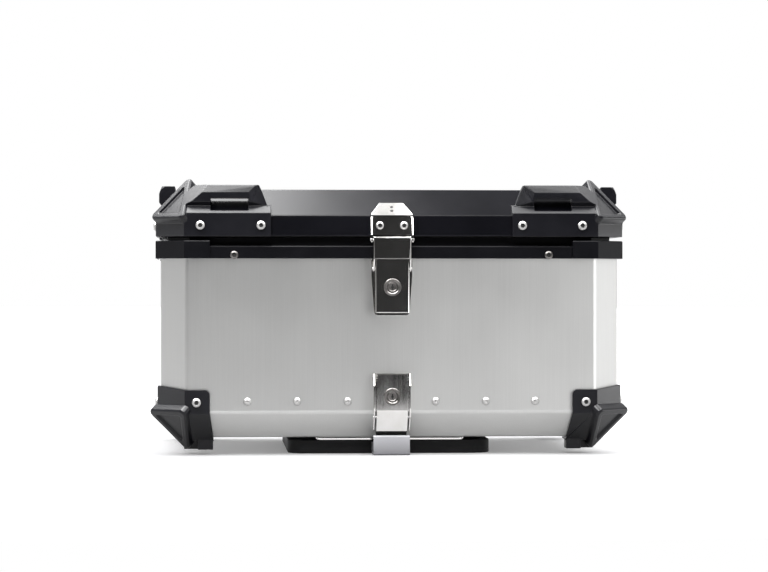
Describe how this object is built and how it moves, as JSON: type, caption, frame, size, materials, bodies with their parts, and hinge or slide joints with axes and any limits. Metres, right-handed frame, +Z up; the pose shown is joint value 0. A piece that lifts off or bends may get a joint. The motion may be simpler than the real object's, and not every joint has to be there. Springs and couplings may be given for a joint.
{
  "type": "motorcycle top case",
  "caption": "Aluminium motorcycle top case with a hinged black lid, moulded corner guards with strap loops, an over-centre lid latch and a quick-release rack plate.",
  "frame": {"origin": "centre of the rack plate's flat underside", "axes": "+Z up, +X to the right seen from the latch side, -Y out of the latch side"},
  "size_m": [0.5834, 0.4196, 0.3345],
  "materials": {
    "box_aluminium": "fine brushed, anodised",
    "lid_sheet": "satin black powder coat on aluminium sheet",
    "guard_plastic": "fine grained black moulding",
    "stainless": "bright pressed sheet",
    "fastener_steel": "plain stainless",
    "rubber": "matte",
    "rack_plate_black": "textured black moulding"
  },
  "bodies": {
    "rack_plate": {"mounting_plate": "rack_plate_black", "plate_front_tab": "stainless"},
    "case": {"case_shell": "box_aluminium", "inner_tray": "box_aluminium", "floor_mat": "rubber", "rim_frame": "guard_plastic", "rim_seal": "rubber", "rim_cap_front_left": "guard_plastic", "rim_cap_front_right": "guard_plastic", "rim_cap_rear_left": "guard_plastic", "rim_cap_rear_right": "guard_plastic", "base_guard_front_left": "guard_plastic", "base_guard_front_right": "guard_plastic", "base_guard_rear_left": "guard_plastic", "base_guard_rear_right": "guard_plastic", "keeper_plate": "stainless", "latch_base": "stainless", "latch_pivot_pin": "fastener_steel", "latch_backing_plate": "stainless", "base_latch_bracket": "stainless", "base_pivot_pin": "fastener_steel", "hinge_case_leaf_left": "stainless", "hinge_case_leaf_right": "stainless", "hinge_pin_left": "fastener_steel", "hinge_pin_right": "fastener_steel", "foot_screw_left": "fastener_steel", "foot_screw_right": "fastener_steel", "rim_screw_left": "fastener_steel", "rim_screw_right": "fastener_steel", "tray_rivet_left_1": "fastener_steel", "tray_rivet_left_2": "fastener_steel", "tray_rivet_left_3": "fastener_steel", "tray_rivet_right_1": "fastener_steel", "tray_rivet_right_2": "fastener_steel", "tray_rivet_right_3": "fastener_steel"},
    "lid": {"lid_shell": "lid_sheet", "lid_frame": "guard_plastic", "lid_guard_front_left": "guard_plastic", "lid_guard_front_right": "guard_plastic", "lid_guard_rear_left": "guard_plastic", "lid_guard_rear_right": "guard_plastic", "latch_catch": "stainless", "catch_pin": "fastener_steel", "catch_screw_left": "fastener_steel", "catch_screw_right": "fastener_steel", "guard_screw_left_inner": "fastener_steel", "guard_screw_left_outer": "fastener_steel", "guard_screw_right_inner": "fastener_steel", "guard_screw_right_outer": "fastener_steel", "hinge_lid_leaf_left": "stainless", "hinge_lid_leaf_right": "stainless"},
    "lid_latch": {"latch_lever": "stainless", "lid_lock_housing": "stainless"},
    "lid_latch_link": {"latch_link": "stainless", "link_pin_left": "fastener_steel", "link_pin_right": "fastener_steel"},
    "lid_lock": {"lid_lock_plug": "fastener_steel"},
    "base_latch": {"base_latch_lever": "stainless", "base_lock_housing": "stainless"},
    "base_lock": {"base_lock_plug": "fastener_steel"}
  },
  "joints": [
    {"name": "case_tilt", "type": "hinge", "parent": "rack_plate", "child": "case", "pos_m": [0, 0.131, 0.009], "axis": [-1, 0, 0], "range_deg": [0, 7]},
    {"name": "lid_hinge", "type": "hinge", "parent": "case", "child": "lid", "pos_m": [0, 0.203, 0.259], "axis": [-1, 0, 0], "range_deg": [0, 100]},
    {"name": "latch_lever", "type": "hinge", "parent": "case", "child": "lid_latch", "pos_m": [0, -0.2025, 0.233], "axis": [-1, 0, 0], "range_deg": [0, 100]},
    {"name": "latch_link", "type": "hinge", "parent": "lid_latch", "child": "lid_latch_link", "pos_m": [0, -0.2009, 0.224], "axis": [-1, 0, 0], "range_deg": [-105, 0]},
    {"name": "lid_lock", "type": "hinge", "parent": "lid_latch", "child": "lid_lock", "pos_m": [0, -0.2075, 0.202], "axis": [0, -1, 0], "range_deg": [0, 90]},
    {"name": "base_lever", "type": "hinge", "parent": "case", "child": "base_latch", "pos_m": [0, -0.2, 0.0462], "axis": [1, 0, 0], "range_deg": [0, 12]},
    {"name": "base_lock", "type": "hinge", "parent": "base_latch", "child": "base_lock", "pos_m": [0, -0.2075, 0.071], "axis": [0, -1, 0], "range_deg": [0, 90]}
  ],
  "couplings": [
    {"joint": "latch_link", "follows": "latch_lever", "ratio": -1.05}
  ]
}
